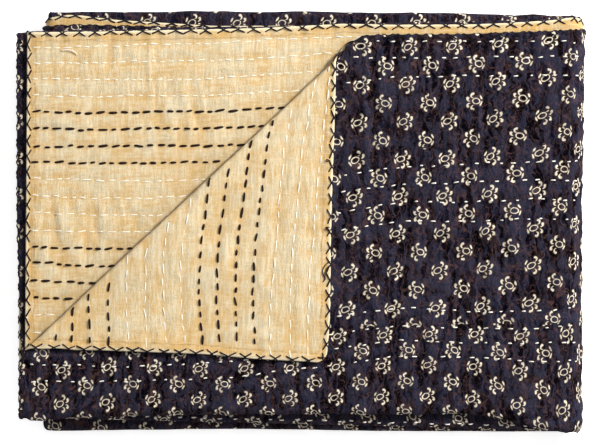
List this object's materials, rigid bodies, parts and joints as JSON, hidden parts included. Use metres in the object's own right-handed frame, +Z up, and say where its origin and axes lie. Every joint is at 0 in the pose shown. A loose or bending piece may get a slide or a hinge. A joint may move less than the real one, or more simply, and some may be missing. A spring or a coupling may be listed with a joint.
{
  "type": "folded quilted throw blanket",
  "caption": "Two-sided cotton throw in running stitch, folded to a flat stack with one corner turned back to show its plain side.",
  "frame": {"origin": "middle of the folded stack's outline, on the surface it rests on", "axes": "+Z up through the layers, +X along the long side, from the hemmed end to the folded end, +Y along the short side, from the folded edge to the hemmed edge"},
  "size_m": [0.4448, 0.3318, 0.0481],
  "materials": {
    "printed_cotton": "matte indigo cotton with a small cream print",
    "plain_cotton": "matte undyed cotton",
    "pale_thread": "off-white cotton thread",
    "brown_thread": "dark brown cotton thread",
    "hem_thread": "near-black cotton thread"
  },
  "bodies": {
    "root": {"printed_cloth": "printed_cotton", "plain_cloth": "plain_cotton"}
  },
  "joints": []
}
